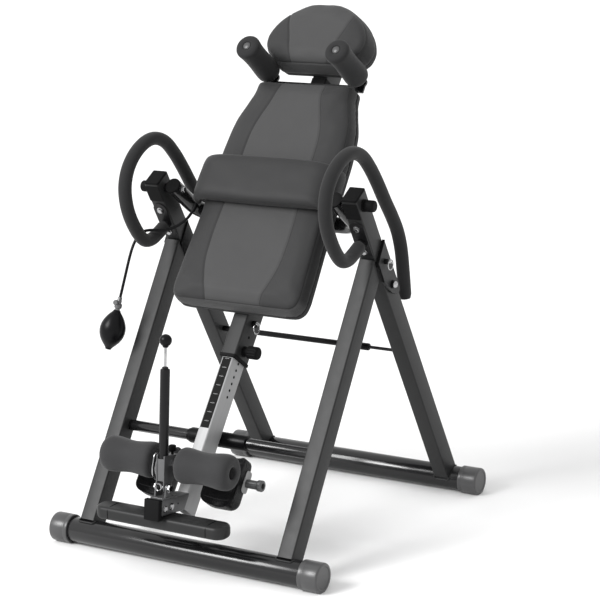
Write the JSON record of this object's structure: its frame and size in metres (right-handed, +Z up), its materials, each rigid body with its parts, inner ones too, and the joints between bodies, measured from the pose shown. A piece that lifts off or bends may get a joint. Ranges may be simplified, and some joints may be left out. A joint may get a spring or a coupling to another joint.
{
  "type": "inversion table",
  "caption": "Folding A-frame inversion table with a padded tilting bed, sliding height tube, ankle clamps, shoulder rollers, loop handles and a hand pump for its lumbar band.",
  "frame": {"origin": "on the floor, below the centre of the whole object", "axes": "+Z up, -Y towards the side the user faces and stands on, +X to the right seen from the front"},
  "size_m": [0.73, 0.9508, 1.224],
  "materials": {
    "frame": "charcoal satin powder coat",
    "tube": "glossy near-black paint",
    "plastic": "black moulded plastic",
    "foam": "matte black closed-cell foam",
    "pad": "dark grey grained upholstery over foam",
    "board": "grey faced board",
    "steel": "satin steel",
    "chrome": "bright chrome",
    "rubber": "black rubber",
    "footbar": "dark smooth shell"
  },
  "bodies": {
    "rear_frame": {"rear_base_tube": "tube", "rear_base_cap_left": "plastic", "rear_base_cap_right": "plastic", "rear_leg_left": "frame", "rear_leg_right": "frame", "rear_leg_cap_left": "plastic", "rear_leg_cap_right": "plastic", "pivot_pin_left": "plastic", "pivot_pin_right": "plastic", "rear_cross_rod": "tube", "rear_cross_sleeve": "rubber", "handle_plate_left": "frame", "handle_plate_right": "frame", "handle_grip_left": "foam", "handle_grip_right": "foam", "pump_hose": "rubber", "pump_valve": "chrome", "pump_bulb": "rubber"},
    "front_frame": {"front_base_tube": "tube", "front_base_cap_left": "plastic", "front_base_cap_right": "plastic", "front_leg_left": "frame", "front_leg_right": "frame", "fold_bracket_left": "frame", "fold_bracket_right": "frame", "fold_bolt_left": "chrome", "fold_bolt_right": "chrome", "stop_bar": "tube", "stop_sleeve": "rubber"},
    "lock_pin_left": {"fold_lock_pin_left": "chrome"},
    "lock_pin_right": {"fold_lock_pin_right": "chrome"},
    "bed": {"cradle_tube": "tube", "main_tube": "frame", "tube_collar": "plastic", "backrest_board": "board", "headrest_board": "board", "backrest_pad": "pad", "headrest_pad": "pad", "lumbar_band": "pad", "shoulder_bar": "frame", "shoulder_foam_left": "foam", "shoulder_foam_right": "foam"},
    "height_pin": {"height_knob": "plastic"},
    "storage_pin": {"storage_ring_pin": "chrome"},
    "boom": {"height_tube": "steel", "foot_bracket": "frame", "foot_bracket_cap": "plastic", "footrest_bar": "footbar", "heel_axle": "steel", "lever_hinge_bolt": "chrome"},
    "heel_cups": {"heel_cup_left": "foam", "heel_cup_right": "foam"},
    "ankle_lever": {"lever_yoke": "steel", "lever_tube": "tube", "lever_knob": "plastic", "roller_axle": "chrome", "ankle_roller_left": "foam", "ankle_roller_right": "foam"},
    "release": {"release_button": "plastic"}
  },
  "joints": [
    {"name": "bed_tilt", "type": "hinge", "parent": "rear_frame", "child": "bed", "pos_m": [0, -0.01981, 0.80384], "axis": [-1, 0, 0], "range_deg": [0, 90], "deforming": ["pump_hose"]},
    {"name": "frame_fold", "type": "hinge", "parent": "rear_frame", "child": "front_frame", "pos_m": [0, 0.10241, 0.59962], "axis": [1, 0, 0], "range_deg": [0, 60]},
    {"name": "fold_lock_left_pull", "type": "slide", "parent": "front_frame", "child": "lock_pin_left", "axis": [-1, 0, 0], "range_m": [0, 0.012], "stiffness_N_per_m": 600, "springref_m": -0.006},
    {"name": "fold_lock_right_pull", "type": "slide", "parent": "front_frame", "child": "lock_pin_right", "axis": [1, 0, 0], "range_m": [0, 0.012], "stiffness_N_per_m": 600, "springref_m": -0.006},
    {"name": "height_slide", "type": "slide", "parent": "bed", "child": "boom", "axis": [0, 0.5878, 0.809], "range_m": [-0.05, 0.15]},
    {"name": "height_pin_pull", "type": "slide", "parent": "bed", "child": "height_pin", "axis": [1, 0, 0], "range_m": [0, 0.012], "stiffness_N_per_m": 600, "springref_m": -0.006},
    {"name": "storage_pin_pull", "type": "slide", "parent": "bed", "child": "storage_pin", "axis": [1, 0, 0], "range_m": [0, 0.012], "stiffness_N_per_m": 600, "springref_m": -0.006},
    {"name": "heel_cup_tilt", "type": "hinge", "parent": "boom", "child": "heel_cups", "pos_m": [0, -0.28765, 0.19871], "axis": [1, 0, 0], "range_deg": [-8, 8]},
    {"name": "ankle_lever_swing", "type": "hinge", "parent": "boom", "child": "ankle_lever", "pos_m": [0, -0.42405, 0.208], "axis": [1, 0, 0], "range_deg": [-6, 35]},
    {"name": "release_press", "type": "slide", "parent": "ankle_lever", "child": "release", "axis": [0, -0.0785, -0.9969], "range_m": [0, 0.005], "stiffness_N_per_m": 400, "springref_m": -0.003}
  ]
}
